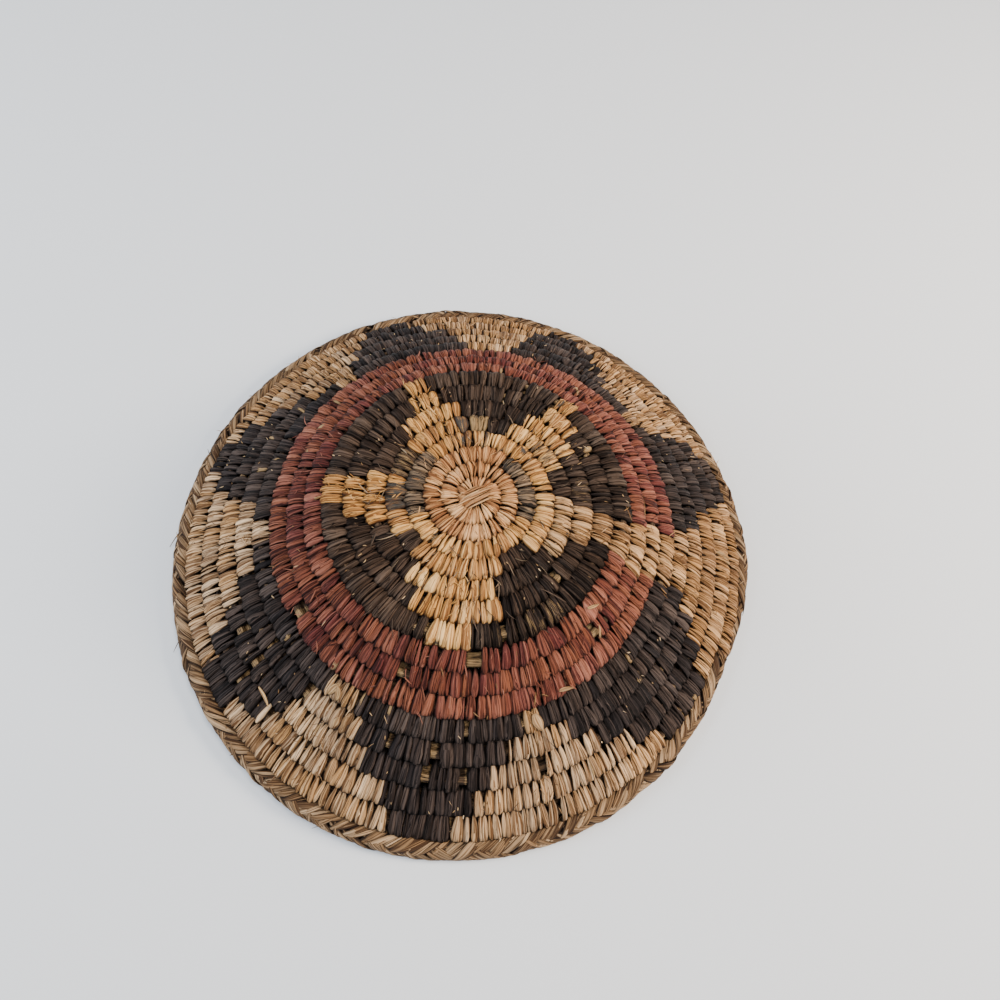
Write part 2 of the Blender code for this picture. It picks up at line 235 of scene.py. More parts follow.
def read(tree, mark, output):
    """An attribute of the mesh, as a wire."""
    made = tree.nodes.new("ShaderNodeAttribute")
    made.attribute_name = mark
    return Wire(tree, made.outputs[output])


def mixed(amount, first, second):
    made = amount.node("ShaderNodeMix", [("data_type", "RGBA")], Factor=amount, n6=first, n7=second)
    return Wire(amount.tree, made.outputs[2])


def noise(spot, detail):
    made = spot.node("ShaderNodeTexNoise", Vector=spot, Scale=1.0, Detail=detail)
    return Wire(spot.tree, made.outputs["Fac"])


def scaled(vector, factors):
    made = vector.node("ShaderNodeVectorMath", [("operation", "MULTIPLY")], n0=vector, n1=factors)
    return Wire(vector.tree, made.outputs[0])


def splint_finish(name, deep, cool, warm, light, shade_and_dirt, bald=(0.37, 0.225, 0.10), grain=5.0,
                  roughness=0.7, gloss=0.15):
    """Splint in one dye: its deepest, two usual and lightest colours, its dirt and painted shade, and where
    dye is lost. The lightest colour is also laid on as a painted highlight.
    """
    material = bpy.data.materials.new(name)
    material.use_nodes = True
    tree = material.node_tree
    shader = tree.nodes["Principled BSDF"]
    fibre = read(tree, "fibre", "Vector")
    tone = read(tree, "tone", "Fac")
    hue = read(tree, "hue", "Fac")
    edge = read(tree, "edge", "Fac")
    lost = read(tree, "lost", "Fac")
    strands = noise(scaled(fibre, (2700.0, 70.0, 1.0)), 1.0)
    threads = noise(scaled(fibre, (7500.0, 260.0, 1.0)), 1.0)
    blotches = noise(scaled(fibre, (420.0, 240.0, 1.0)), 2.0)
    usual = mixed(hue.clamped(), (*cool, 1), (*warm, 1))
    depth = ((strands - 0.5) * grain + (threads - 0.5) * grain * 0.4 + tone * 1.2 + 0.1).clamped()
    colour = mixed(depth, (*deep, 1), usual)
    # Painted highlight: the lightest colour along the fibres stands for glints as well as pale fibres.
    pale_fibre_and_glint = (strands - 0.5) * 0.5 * grain + (threads - 0.5) * 0.3 * grain + tone * 1.9 - 1.0
    colour = mixed(pale_fibre_and_glint.clamped() * 0.92, colour, (*light, 1))
    worn = (lost * 5.0 + (threads - 0.5) * 5.0 + (blotches - 0.5) * 3.0 - 2.6).clamped()
    colour = mixed(worn, colour, (*bald, 1))
    # Painted shade: the edge mark darkens edges and grooves, with patches of real dirt from the blotches.
    painted_shade_and_dirt = (edge.power(2.5) * 1.45 + (blotches - 0.56) * 1.3).clamped()
    colour = mixed(painted_shade_and_dirt * 0.93, colour, (*shade_and_dirt, 1))
    tree.links.new(colour.socket, shader.inputs["Base Color"])
    rough = (blotches - 0.5) * 0.3 + roughness
    tree.links.new(rough.socket, shader.inputs["Roughness"])
    shader.inputs["Specular IOR Level"].default_value = gloss
    relief = strands * 0.6 + threads * 0.4
    bump = relief.node("ShaderNodeBump", Strength=1.0, Distance=0.0008, Height=relief)
    tree.links.new(bump.outputs[0], shader.inputs["Normal"])
    return material


# The wraps. Each splint goes over the rods and down through the row before it, so its upper end is a
# point between two wraps of that row, and its lower end is held under the points of the next row. The
# awl splits most of them, so a wrap is two strands that part on the way down.
WRAP_RINGS = 16
# A wrap's point reaches into the row before it, further at the front of the basket. The splint is sunk
# into its row, crowned over the rods and thin at its edges, and the first turns are sewn finer.
WRAP_REACH = 0.0010
FRONT_REACH = 0.0007
WRAP_SUNK = 0.0007
WRAP_CROWN = 0.00065
SPLINT_EDGE = 0.00012
SPLINT_BODY = 0.00018
SPLINT_LENGTH = 0.022
FINE_TURNS = 2.5
LEAST_TURN = 0.001
STAR_END = 8
wrap_blank = splint_blank(WRAP_RINGS, has_ends=False)
draw = np.random.default_rng(16)


# Places where a wrap has broken away: the turn, the length of rod that shows, and how pale the rods are.
bare_places = [
    (turn_at(row, degrees), length, pale) for row, degrees, length, pale in [
        (6, 184.9, 0.0018, 1), (6, 330, 0.0020, 1), (7, 296.2, 0.0026, 1), (8, 285, 0.0032, 1),
        (8, 328.7, 0.0024, 1), (9, 262, 0.0020, 1), (9, 293.4, 0.0018, 1), (9, 327, 0.0024, 1),
        (10, 226.1, 0.0014, 1), (10, 233, 0.0014, 1), (11, 283.7, 0.0020, 1), (12, 227.8, 0.0024, 1),
        (12, 242.9, 0.0014, 1), (12, 264.9, 0.0014, 1), (12, 275.6, 0.0024, 1), (13, 220.4, 0.0020, 1),
        (13, 228.4, 0.0022, 1), (13, 274.6, 0.0022, 1), (13, 283.5, 0.0012, 1), (13, 300.5, 0.0014, 0),
        (14, 228.9, 0.0022, 1), (14, 272.3, 0.0014, 1), (15, 269.9, 0.0012, 1), (15, 280.3, 0.0018, 1),
        (15, 302.1, 0.0022, 0),
    ]
]
# Near the middle some wraps are mottled, with a few fibres stained or bleached: the row, the first and
# last angle, and how much of them.
mottled_places = [
    (4, 206, 182, 0.86), (4, 176, 140, 0.48), (3, 124, 96, 0.50), (4, 117, 97, 0.78), (4, 60, 42, 0.58),
    (3, 425, 349, 0.46), (3, 213, 150, 0.46), (7, 322, 306, 0.46), (7, 306, 292, 0.38), (5, 28, 12, 0.42),
]


def is_bare(turn):
    return any(abs(turn - gone) * float(arc(gone)) < length / 2 for gone, length, pale in bare_places)


def wrap_places(runs, usual_pitch, gap_share):
    """Turns of the wraps along the runs, a splint apart, but for small gaps and wraps that are gone."""
    places, pitches = [], []
    for start, end in runs:
        turn = start
        while turn < end:
            fineness = 0.62 + 0.38 * min(turn / FINE_TURNS, 1)
            pitch = usual_pitch * fineness * (1 + 0.25 * draw.normal()) * (1 + 0.1 * math.sin(9 * turn))
            pitch = min(max(pitch, 0.6 * usual_pitch), 1.6 * usual_pitch)
            if draw.uniform() < gap_share:
                gap = draw.uniform(0.25, 0.50) * usual_pitch
                turn += gap / float(arc(turn))
                bare_places.append((turn - gap / 2 / float(arc(turn)), gap, 1))
            share = pitch / float(arc(turn))
            middle = turn + share / 2
            if middle > end:
                break
            if not is_bare(middle):
                places.append(middle)
                pitches.append(pitch)
            turn += share
    return np.array(places), np.array(pitches)


def patchy(count, amount):
    """A value for each wrap that drifts along the row, as one twig's splints follow another's."""
    drift = np.sin(np.cumsum(0.7 * draw.normal(size=count)))
    return amount * (0.8 * drift + 0.7 * draw.normal(size=count))


# Down a wrap, from its point to its foot: its height, the width of a blunt and of a pointed splint, and
# how far its strands keep apart.
DOWN = (0.0, 0.07, 0.16, 0.3, 0.43, 0.56, 0.7, 0.82, 0.92, 1.0)
RISE = (0.08, 0.25, 0.45, 0.73, 0.93, 1.0, 0.94, 0.77, 0.40, 0.0)
BLUNT = (0.3, 0.62, 0.82, 0.95, 1.0, 1.0, 1.0, 0.96, 0.85, 0.65)
POINTED = (0.06, 0.18, 0.38, 0.70, 0.94, 1.05, 1.05, 0.94, 0.74, 0.52)
GATHERED = (0.3, 0.4, 0.5, 0.76, 0.94, 1.0, 1.0, 1.0, 0.96, 0.9)


def column(values):
    return np.asarray(values)[:, None]


def varied(spread, count):
    """A small random amount for each splint."""
    return column(spread * draw.normal(size=count))


def both(values):
    """The same value for both strands of a wrap."""
    return np.repeat(values, 2)


def wraps(name, runs, finish, pitch=0.0024, pointed=1.0, parted=0.08, full=0.35, plump=1.0, slanted=0.0,
          tone=0.5, tones=0.16, hue=0.5, hues=0.35, split_share=0.6, lost_share=0.02, gap_share=0.02):
    """The wraps of one field. Parted is how much further apart a wrap's strands are below than above."""
    middle, pitches = wrap_places(runs, pitch, gap_share)
    wrap_count = len(middle)
    # What the two strands of a wrap share.
    wrap_tone = both(tone + patchy(wrap_count, tones))
    wrap_hue = both(hue + patchy(wrap_count, hues))
    wrap_slant = both(0.0006 * draw.normal(size=wrap_count))
    wrap_lift = column(both(0.00022 * draw.normal(size=wrap_count)))
    is_split = column(both(draw.uniform(size=wrap_count) < split_share))
    parting = column(both(parted * draw.uniform(0, 2, size=wrap_count))) * is_split
    middle = both(middle)
    pitches = both(pitches)
    count = len(middle)
    side = np.where(np.arange(count) % 2, 1, -1)
    # Each strand goes down over the coil from its point to its foot, and back behind it.
    across, along, height = corners_of(wrap_blank)
    ring = np.rint(along * WRAP_RINGS).astype(int) % WRAP_RINGS
    outside = np.where(along < 0.5, 1, -1)
    down = np.minimum(along, 1 - along) * 2
    around = math.pi * (1 - down)
    ragged = 1 + 0.10 * draw.normal(size=(count, 2, WRAP_RINGS))
    point = np.clip(column(pointed + 0.2 * draw.normal(size=count)), 0, 1)
    swell = point * np.interp(down, DOWN, POINTED) + (1 - point) * np.interp(down, DOWN, BLUNT)
    swell = swell * ragged[:, np.where(across < 0, 0, 1), ring]
    # Hand sewing: no two strands reach, lean, bow, lift or curl alike.
    facing = 0.5 + 0.5 * np.cos(2 * np.pi * middle)
    reach = column(WRAP_REACH + FRONT_REACH * facing) + varied(0.0004, count)
    low = varied(0.0003, count)
    lean = np.maximum(np.cos(2 * np.pi * middle), 0) * (middle < STAR_END)
    slant = column(wrap_slant - 0.0005 * lean + slanted) + varied(0.00022, count)
    bow = varied(0.0003, count)
    lift = wrap_lift + varied(0.0001, count)
    half = column(pitches * full * np.exp(0.15 * draw.normal(size=count))) * np.where(is_split, 1, 1.3)
    curl = column(0.00006 * side) + varied(0.00012, count)
    width = coil_width(column(middle)) / 2
    x = -reach / 2 + (width + reach / 2) * np.cos(around) + low * down**2 * outside.clip(0)
    apart = np.where(is_split, 0.27, 0.15) + varied(0.03, count) - parting * (1 - down)
    spread = column(side * pitches) * apart * (1 - point * (1 - np.interp(down, DOWN, GATHERED)))
    beside = across * half * swell + spread
    crown = WRAP_CROWN * plump * (1 - (beside / column(pitches) * 1.8) ** 2) * swell
    y = (COIL_HALF - WRAP_SUNK + lift) * np.interp(down, DOWN, RISE)
    thick = (SPLINT_EDGE + SPLINT_BODY * plump * swell) * height + crown
    x = x + thick * np.cos(around) * 0.5
    y = (y + thick * (0.25 + 0.75 * np.sin(around)) + curl * across) * outside
    sideways = beside + slant * (0.5 - down) + bow * np.sin(math.pi * down)
    turn = column(middle) + sideways / column(arc(middle))
    points = place(np.maximum(turn, LEAST_TURN), x, y)
    # The fibres run along each strand, and each has a stretch of the pattern to itself.
    own_pattern = column(np.arange(count) * 3.7)
    flat = np.zeros_like(turn)
    fibre = np.stack((across * half + flat, along * SPLINT_LENGTH + flat, own_pattern + flat), axis=-1)
    splint_tone = column(np.clip(wrap_tone + 0.06 * draw.normal(size=count), 0, 1)) + flat
    splint_hue = column(np.clip(wrap_hue + 0.1 * draw.normal(size=count), 0, 1)) + flat
    # Dye is lost in a patch on a few strands and along the mottled places. Painted shade, with some dirt,
    # is marked at the edges, most towards the next wrap, and at both ends, in the grooves between rows.
    is_lost = draw.uniform(size=count) < lost_share
    patch_place = column(draw.uniform(0.3, 0.75, size=count))
    patch_size = column(draw.uniform(0.06, 0.22, size=count))
    lost = column(is_lost) * np.exp(-(((down - patch_place) / patch_size) ** 2))
    mottled = sum(
        share * ((middle > turn_at(row, left)) & (middle < turn_at(row, right)))
        for row, left, right, share in mottled_places
    )
    lost = np.maximum(lost, column(mottled * (0.75 + 0.5 * wrap_tone)))
    # Painted shade: darker at both ends of a strand, in the grooves between rows, and at its edges.
    groove_shade = 1.3 * np.clip(1 - down / 0.30, 0, 1) + np.clip((down - 0.70) / 0.15, 0, 1)
    shaded = np.where(across * column(side) > 0, 0.92, 0.5 + 0.12 * is_split) * np.abs(across)
    edge = np.clip(shaded + groove_shade, 0, 1)
    marks = {"fibre": fibre, "tone": splint_tone, "hue": splint_hue, "edge": edge + flat, "lost": lost}
    piece = bent_piece(name, wrap_blank, points, marks, finish)
    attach(piece, "root")
    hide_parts(name)
    return piece


# The star: five dark fields that narrow towards the middle row by row, and undyed points between
# them. Its splints are dyed before they are sewn, and each field is sewn over the coil in turn.
undyed_star = splint_finish(
    "undyed_star", deep=(0.19, 0.070, 0.018), cool=(0.55, 0.25, 0.082), warm=(0.80, 0.375, 0.090),
    light=(1.0, 0.62, 0.25), shade_and_dirt=(0.026, 0.008, 0.002), bald=(0.062, 0.052, 0.042), grain=5.0,
)
dark_star = splint_finish(
    "dark_star", deep=(0.004, 0.002, 0.0012), cool=(0.030, 0.0205, 0.016), warm=(0.074, 0.042, 0.026),
    light=(0.17, 0.11, 0.075), shade_and_dirt=(0.002, 0.001, 0.0006), grain=4.0, roughness=0.6, gloss=0.06,
)
# Each list gives a field's first and last angle on the rows from the widest to the narrowest.
star_rows = (7, 6, 5, 4)
star_fields = [
    [(7.4, 58.6), (7.8, 52), (11, 42), (16, 36)],
    [(68, 125.5), (68, 121), (74, 112.7), (80, 109)],
    [(134.5, 185), (137, 183), (151, 181), (155, 178)],
    [(197, 266.3), (204.6, 255), (211, 246.4), (223.8, 236)],
    [(283, 355.5), (296, 350.5), (296.6, 336.4), (304, 328)],
]


def stepped(names, fields, rows, dark, undyed, dark_tones, undyed_tones, undyed_hues):
    """A ring of dark fields and the undyed ones between them, each field in a tone of its own."""
    for number, field in enumerate(fields, 1):
        runs = [(turn_at(row, right), turn_at(row, left)) for row, (left, right) in zip(rows, field)]
        wraps(f"{names[0]}_{number}", runs, dark, pitch=0.0025, pointed=0.4, parted=0.03, full=0.36,
              plump=0.85, tone=dark_tones[number % len(dark_tones)], tones=0.11, split_share=0.35,
              lost_share=0.01, gap_share=0.018)
    for number, (first, second) in enumerate(zip(fields, fields[1:]), 1):
        pairs = zip(rows, first, second)
        runs = [(turn_at(row, before[0]), turn_at(row, after[1])) for row, after, before in pairs]
        wraps(f"{names[1]}_{number}", runs, undyed, tone=undyed_tones[number % len(undyed_tones)],
              hue=undyed_hues[number % len(undyed_hues)], hues=0.42)


stepped(("star_field", "star_point"), star_fields, star_rows, dark_star, undyed_star,
        (0.36, 0.52, 0.52, 0.48, 0.50), (0.54, 0.46, 0.42, 0.34), (0.5,))

# The middle: undyed splint, pinkish round the knot, and round it a row with two runs whose dye has
# faded to a mottled grey-brown. The sewing is finer here, because the coil is still narrow.
undyed_centre = splint_finish(
    "undyed_centre", deep=(0.20, 0.070, 0.022), cool=(0.54, 0.235, 0.09), warm=(0.66, 0.31, 0.11),
    light=(0.92, 0.54, 0.25), shade_and_dirt=(0.035, 0.011, 0.004), grain=4.6,
)
faded = splint_finish(
    "faded_rows", deep=(0.018, 0.012, 0.008), cool=(0.060, 0.052, 0.042), warm=(0.19, 0.11, 0.06),
    light=(0.40, 0.27, 0.16), shade_and_dirt=(0.010, 0.006, 0.003), bald=(0.44, 0.27, 0.14), grain=6.0,
)
faded_runs = [(turn_at(3, 425), turn_at(3, 349)), (turn_at(3, 213), turn_at(3, 150))]
first_dark = turn_at(4, star_fields[-1][-1][1])
wraps("centre_wrap", [(0.06, faded_runs[0][0])], undyed_centre, pitch=0.0021, lost_share=0, gap_share=0)
wraps("faded_wrap_1", [faded_runs[0]], faded, pitch=0.0024, lost_share=0)
wraps("fourth_row_wrap_1", [(faded_runs[0][1], faded_runs[1][0])], undyed_star)
wraps("faded_wrap_2", [faded_runs[1]], faded, pitch=0.0024, lost_share=0)
wraps("fourth_row_wrap_2", [(faded_runs[1][1], first_dark)], undyed_star)

# The red band: three rows of splint dyed red, sewn on round the star and broken only by the pathway.
# The dye took unevenly, so it runs from brown to a bright red.
red = splint_finish(
    "red_band", deep=(0.030, 0.005, 0.003), cool=(0.150, 0.030, 0.023), warm=(0.25, 0.072, 0.030),
    light=(0.44, 0.17, 0.105), shade_and_dirt=(0.008, 0.0015, 0.001), grain=4.6,
)
red_edges = {8: (9, 354), 9: (10.5, 352.5), 10: (9, 354)}
for number, (row, (left, right)) in enumerate(red_edges.items(), 1):
    wraps(f"red_row_{number}", [(turn_at(row, right), turn_at(row, left))], red, pitch=0.0026, pointed=0.7,
          parted=0.06, full=0.36, tones=0.12, hues=0.4, split_share=0.45,
          lost_share=0.01, gap_share=0.015)

# Outside the band: seven dark fields that step down to a point near the rim, with undyed splint
# between them. They are sewn like the star, on the rows that make the bowl's side.
undyed_side = splint_finish(
    "undyed_side", deep=(0.13, 0.055, 0.018), cool=(0.43, 0.27, 0.15), warm=(0.57, 0.29, 0.105),
    light=(0.93, 0.61, 0.34), shade_and_dirt=(0.014, 0.0055, 0.002), grain=5.4,
)
dark_side = splint_finish(
    "dark_side", deep=(0.003, 0.002, 0.0015), cool=(0.026, 0.0195, 0.0185), warm=(0.058, 0.037, 0.028),
    light=(0.145, 0.10, 0.078), shade_and_dirt=(0.002, 0.001, 0.0007), grain=3.8, roughness=0.6, gloss=0.06,
)
side_rows = (11, 12, 13, 14, 15)
triangles = [
    [(12.1, 46), (14.8, 43), (19.9, 41.4), (21.9, 39.8), (23.4, 35)],
    [(52, 92.3), (63.3, 91), (67, 89), (71.5, 88.5), (77, 84.4)],
    [(105.6, 142), (108.8, 140), (110.7, 137), (117, 133), (120.5, 130.6)],
    [(147.8, 194.8), (155.6, 190.2), (161, 187), (166.6, 184.7), (172, 180)],
    [(201.9, 246), (208.5, 243.7), (213.6, 240), (217.5, 237), (222.2, 230.4)],
    [(253.8, 298), (257.7, 292.3), (261.3, 289), (266.7, 284.8), (270.5, 280.5)],
    [(302, 355.2), (309, 356), (314.5, 352), (321.6, 348), (327.4, 342.7)],
]
stepped(("dark_triangle", "tan_field"), triangles, side_rows, dark_side, undyed_side, (0.5,),
        (0.5, 0.42, 0.40, 0.44, 0.5, 0.5), (0.5, 0.95, 1.0, 0.75, 0.5, 0.5))

# The pathway is the undyed way from the star to the rim, where each row's colours begin and end. It
# is undyed splint, sewn closely and at a slant.
undyed_way = splint_finish(
    "undyed_way", deep=(0.12, 0.050, 0.015), cool=(0.38, 0.195, 0.085), warm=(0.52, 0.25, 0.080),
    light=(0.84, 0.50, 0.24), shade_and_dirt=(0.018, 0.007, 0.002), grain=5.0,
)
way_left = dict(red_edges) | dict(zip(star_rows, star_fields[0])) | dict(zip(side_rows, triangles[0]))
way_right = dict(red_edges) | dict(zip(star_rows, star_fields[-1])) | dict(zip(side_rows, triangles[-1]))
way_runs = []
for row in sorted(way_left):
    end = turn_at(row + 1, way_right[row + 1][1]) if row < side_rows[-1] else RIM_START
    way_runs.append((turn_at(row, way_left[row][0]), end))
wraps("pathway", way_runs, undyed_way, pitch=0.0022, parted=0.07, full=0.34, slanted=-0.0013, tones=0.2,
      gap_share=0)

# The rim is finished with a false braid: one splint goes forward and back over the last row, so its
# broad crossings lie like a row of long leaves along the edge, and it returns along the inside.
braid_blank = splint_blank(12, has_ends=True)
BRAID_PITCH = 0.0035
BRAID_START = 0.003
BRAID_SHORTER = 0.012
FLOOR_GAP = 0.0001
LAYER_STEP = 0.0023
LEAF_HALF = 0.0012
LEAF_LENGTH = 0.0130
LEAF_LIFT = 0.0003
LEAF_THICKNESS = 0.00034
INSIDE_SUNK = 0.0004


def braid(name, finish):
    """The crossings of both ways of the braid, in two layers outside and one wider one inside."""
    across, along, height = corners_of(braid_blank)
    count = int(float(arc(RIM_START + 0.5)) / BRAID_PITCH)
    numbers = np.arange(count) + draw.uniform(-0.25, 0.25, size=count)
    base = RIM_START + BRAID_START + (1 - BRAID_SHORTER) * numbers / count
    slim = column(coil_width(base) / RIM_WIDTH) ** 0.6
    sets = []
    for way in (1, -1):
        for layer in (0, 1, 2):
            inside = layer == 2
            shift = (0.5 * BRAID_PITCH if way < 0 else 0) + (layer % 2 - 0.5) * LAYER_STEP
            start = column(base + shift / arc(base))
            wobble = varied(0.0007, count)
            half = slim * column(LEAF_HALF * np.exp(0.30 * draw.normal(size=count))) * (2.0 if inside else 1)
            long = slim * (LEAF_LENGTH + varied(0.0028, count))
            leaf = 0.2 + 0.8 * np.sin(math.pi * along) ** 0.7
            offset = across * half * leaf
            width = coil_width(start) / 2
            if inside:
                path = -math.pi / 2 + way * (2.6 - 5.2 * along)
            else:
                path = math.pi / 2 + way * (2.0 - 2.7 * along)
            around = path + varied(0.12 if inside else 0.28, count) + 0.82 * offset / width
            over = np.sin(math.pi * np.clip(along * 1.05, 0, 1)) ** 0.6
            proud = np.abs(varied(0.0002, count)) * np.sin(math.pi * along)
            lift = LEAF_LIFT * over + LEAF_THICKNESS * height * leaf + varied(0.00012, count) + proud
            lift = lift - INSIDE_SUNK * inside
            x = (width + lift) * np.cos(around)
            y = (COIL_HALF + lift) * np.sin(around) * (width / (RIM_WIDTH / 2)) ** 0.7
            lead = long * (along - 0.5) + wobble + 0.58 * way * offset
            points = place(np.minimum(start + lead / column(arc(base)), TURNS), x, y)
            points[..., 2] = np.maximum(points[..., 2], FLOOR_GAP)
            flat = np.zeros_like(x)
            own_pattern = column(np.arange(count) * 5.3 + way + 0.3 * layer)
            fibre = np.stack((across * half + flat, along * 0.012 + flat, own_pattern + flat), axis=-1)
            # Painted shade: crossings darker towards the back of the basket; the inside layer darker too.
            behind = (0.5 - 0.5 * np.cos(2 * np.pi * base)) ** 2
            leaf_tone = draw.normal(0.5, 0.22, size=count) - 0.15 * behind - 0.15 * inside
            tone = column(np.clip(leaf_tone, 0, 1)) + flat
            hue = column(draw.uniform(size=count)) + flat
            # Painted shade and dirt at each crossing's edges and its ends, where it goes under others.
            edge = np.clip(np.abs(across) + np.abs(2 * along - 1) ** 3, 0, 1) + flat
            sets.append((points, fibre, tone, hue, edge, flat))
    points, fibre, tone, hue, edge, lost = (np.concatenate(parts) for parts in zip(*sets))
    marks = {"fibre": fibre, "tone": tone, "hue": hue, "edge": edge, "lost": lost}
    piece = bent_piece(name, braid_blank, points, marks, finish)
    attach(piece, "root")
    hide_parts(name)
    return piece


rim_finish = splint_finish(
    "rim", deep=(0.06, 0.026, 0.010), cool=(0.21, 0.125, 0.062), warm=(0.32, 0.17, 0.071),
    light=(0.58, 0.37, 0.20), shade_and_dirt=(0.010, 0.004, 0.002),
)
braid("rim_braid", rim_finish)

# Loose fibres and splinters: thin bits of splint that have sprung out of old wraps and lie over them.
# Some show the pale inner face of the splint. Small pale flecks of it on the dark fields also serve as
# a painted highlight for the glints of dyed splint.
inner_face = splint_finish(
    "undyed_leaf", deep=(0.30, 0.15, 0.060), cool=(0.60, 0.37, 0.18), warm=(0.70, 0.42, 0.17),
    light=(0.95, 0.68, 0.40), shade_and_dirt=(0.06, 0.025, 0.010), grain=5.0,
)
fray_blank = splint_blank(6, has_ends=True)


def slivers(name, finish, start, across_start, length, heading, half, rise, tone_mean, tones=0.2):
    """Slivers that start on the coil and lie over the wraps, with their far ends a little raised."""
    across, along, height = corners_of(fray_blank)
    number = len(start)
    bend = column(draw.normal(0, 0.10, size=number)) * along**2
    taper = np.sin(math.pi * (0.12 + 0.86 * along)) ** 0.8
    heading = column(heading)
    x = column(across_start) + column(length) * along * np.cos(heading + bend)
    x = x - across * column(half) * taper * np.sin(heading)
    side = column(length) * along * np.sin(heading + bend) + across * column(half) * taper * np.cos(heading)
    raised = column(rise * np.abs(draw.normal(size=number))) * along**1.5
    y = COIL_HALF + 0.0001 + raised + np.minimum(column(half), 0.0004) * height * 0.6
    points = place(np.maximum(column(start) + side / column(arc(start)), LEAST_TURN), x, y)
    flat = np.zeros_like(x)
    own_pattern = column(np.arange(number) * 2.9) + flat
    fibre = np.stack((across * column(half), along * column(length), own_pattern), axis=-1)
    tone = column(np.clip(draw.normal(tone_mean, tones, size=number), 0, 1)) + flat
    hue = column(draw.uniform(size=number)) + flat
    # Painted shade and dirt at the edges of each sliver.
    marks = {"fibre": fibre, "tone": tone, "hue": hue, "edge": np.abs(across) * 0.6 + flat, "lost": flat}
    piece = bent_piece(name, fray_blank, points, marks, finish)
    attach(piece, "root")


def frays(name, finish, number, rows, degrees, length, half, rise=0.0005, tone_mean=0.6, angle=0.45):
    """Slivers at random on the rows and angles given, mostly along the wraps."""
    start = turn_at(draw.uniform(*rows, size=number).round(), draw.uniform(*degrees, size=number))
    across_start = draw.uniform(-0.8, 0.6, size=number) * coil_width(start) / 2
    heading = draw.normal(0, angle, size=number) + np.pi * (draw.uniform(size=number) < 0.3)
    lengths = length * np.exp(0.4 * draw.normal(size=number))
    halves = half * np.exp(0.3 * draw.normal(size=number))
    slivers(name, finish, start, across_start, lengths, heading, halves, rise, tone_mean)


frays("centre_fibres", undyed_centre, 90, (0, 3), (0, 360), 0.0022, 0.00012)
for number, (before, after) in enumerate(zip(star_fields, star_fields[1:]), 1):
    between = (before[0][1], after[0][0])
    frays(f"star_point_fibres_{number}", undyed_star, 36, (4, 7), between, 0.0024, 0.00014)
frays("faded_fibres", faded, 110, (3, 5), (0, 360), 0.0025, 0.00014)
frays("dark_star_fibres", dark_star, 150, (4, 7), (0, 360), 0.0035, 0.00010, tone_mean=0.7)
# Pale flecks on the dark star fields: fibres that are also a painted highlight for glints.
for number, field in enumerate(star_fields, 1):
    frays(f"star_glint_flecks_{number}", inner_face, 14, (4, 7), field[1], 0.0011, 0.00011, rise=0.0002)
frays("red_fibres", red, 120, (8, 10), (10, 350), 0.003, 0.00015, tone_mean=0.7)
frays("red_splinters", undyed_side, 16, (8, 10), (200, 350), 0.0022, 0.00016, tone_mean=0.3)
frays("dark_side_fibres", dark_side, 90, (11, 15), (0, 360), 0.003, 0.00010, tone_mean=0.6)
# Pale flecks on the dark side fields: fibres that are also a painted highlight for glints.
for number, field in enumerate(triangles, 1):
    frays(f"side_glint_flecks_{number}", inner_face, 20, (11, 15), field[1], 0.0011, 0.00012, rise=0.0002,
          tone_mean=0.7)
for number, (before, after) in enumerate(zip(triangles, triangles[1:]), 1):
    between = (before[0][1], after[0][0])
    frays(f"side_fibres_{number}", undyed_side, 30, (11, 15), between, 0.003, 0.00013, tone_mean=0.4)
frays("pathway_fibres", undyed_way, 60, (5, 14), (-8, 12), 0.003, 0.00014, tone_mean=0.5)
frays("rim_fibres", rim_finish, 60, (16, 16), (0, 345), 0.0030, 0.00016, rise=0.0007, tone_mean=0.8,
      angle=1.2)

# The largest loose splinters, each with its place, its length, its half width and which way it points:
# 0 is outward and 90 is clockwise.
leaves = [
    (turn_at(11, 300.8), -0.0034, 0.0064, 0.00170, -10),
    (turn_at(10, 309.0), 0.0006, 0.0046, 0.00080, -82),
    (turn_at(11, 249.5), 0.0020, 0.0056, 0.00120, 172),
    (turn_at(11, 247.0), 0.0020, 0.0060, 0.00130, 190),
    (turn_at(12, 252.0), 0.0018, 0.0042, 0.00100, 176),
    (turn_at(13, 233.1), 0.0026, 0.0070, 0.00070, -90),
    (turn_at(9, 327.5), 0.0018, 0.0045, 0.00050, -150),
    (turn_at(8, 329.5), -0.0018, 0.0042, 0.00060, -60),
]
start, across_start, length, half, points_to = np.array(leaves).T
slivers("loose_leaves", inner_face, start, across_start, length, np.radians(points_to), half, rise=0.0008,
        tone_mean=0.22, tones=0.06)

# The rods: a bundle of three peeled willow rods, in lengths butted end to end inside the wraps. They
# show only in the gaps between wraps and where a wrap is lost.
# The rods are dark brown: painted shade and dirt in the narrow gaps between wraps. Bare rods show pale.
rod_finish = splint_finish(
    "peeled_rod", deep=(0.020, 0.010, 0.005), cool=(0.06, 0.032, 0.016), warm=(0.08, 0.045, 0.022),
    light=(0.12, 0.07, 0.035), shade_and_dirt=(0.012, 0.006, 0.003),
)
ROD_RING_STEP = 0.0015
ROD_SHARE = 0.36
ROD_PLACES = ((-0.42, -0.3), (0.42, -0.3), (0.0, 0.42))
ROD_WORN = 0.66
rod_nodes = [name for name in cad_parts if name.startswith("rod_bundle")]
rod_nodes.sort(key=lambda name: int(name.split("_")[-1]))
stations = np.linspace(0.02, TURNS - 0.09, 1600)
travelled = np.concatenate([[0], np.cumsum(arc(stations[1:]) * np.diff(stations))])
